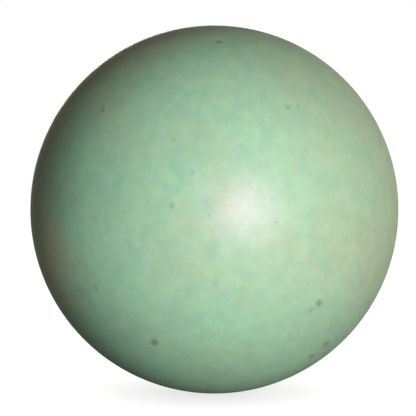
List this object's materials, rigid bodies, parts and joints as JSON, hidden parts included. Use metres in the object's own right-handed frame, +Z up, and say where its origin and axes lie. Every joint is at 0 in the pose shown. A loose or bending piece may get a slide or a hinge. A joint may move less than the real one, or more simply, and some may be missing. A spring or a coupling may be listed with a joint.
{
  "type": "cue ball",
  "caption": "Plain round cue ball in pale mottled green cast resin, with a magnetic layer for a coin-table ball return.",
  "frame": {"origin": "the ball's centre", "axes": "+Z up; the ball is the same along every axis"},
  "size_m": [0.0572, 0.0572, 0.0572],
  "materials": {
    "polished_casting": "satin",
    "magnetic_resin": "matte",
    "core_resin": "matte"
  },
  "bodies": {
    "root": {"outer_casting": "polished_casting", "magnetic_layer": "magnetic_resin", "core": "core_resin"}
  },
  "joints": []
}
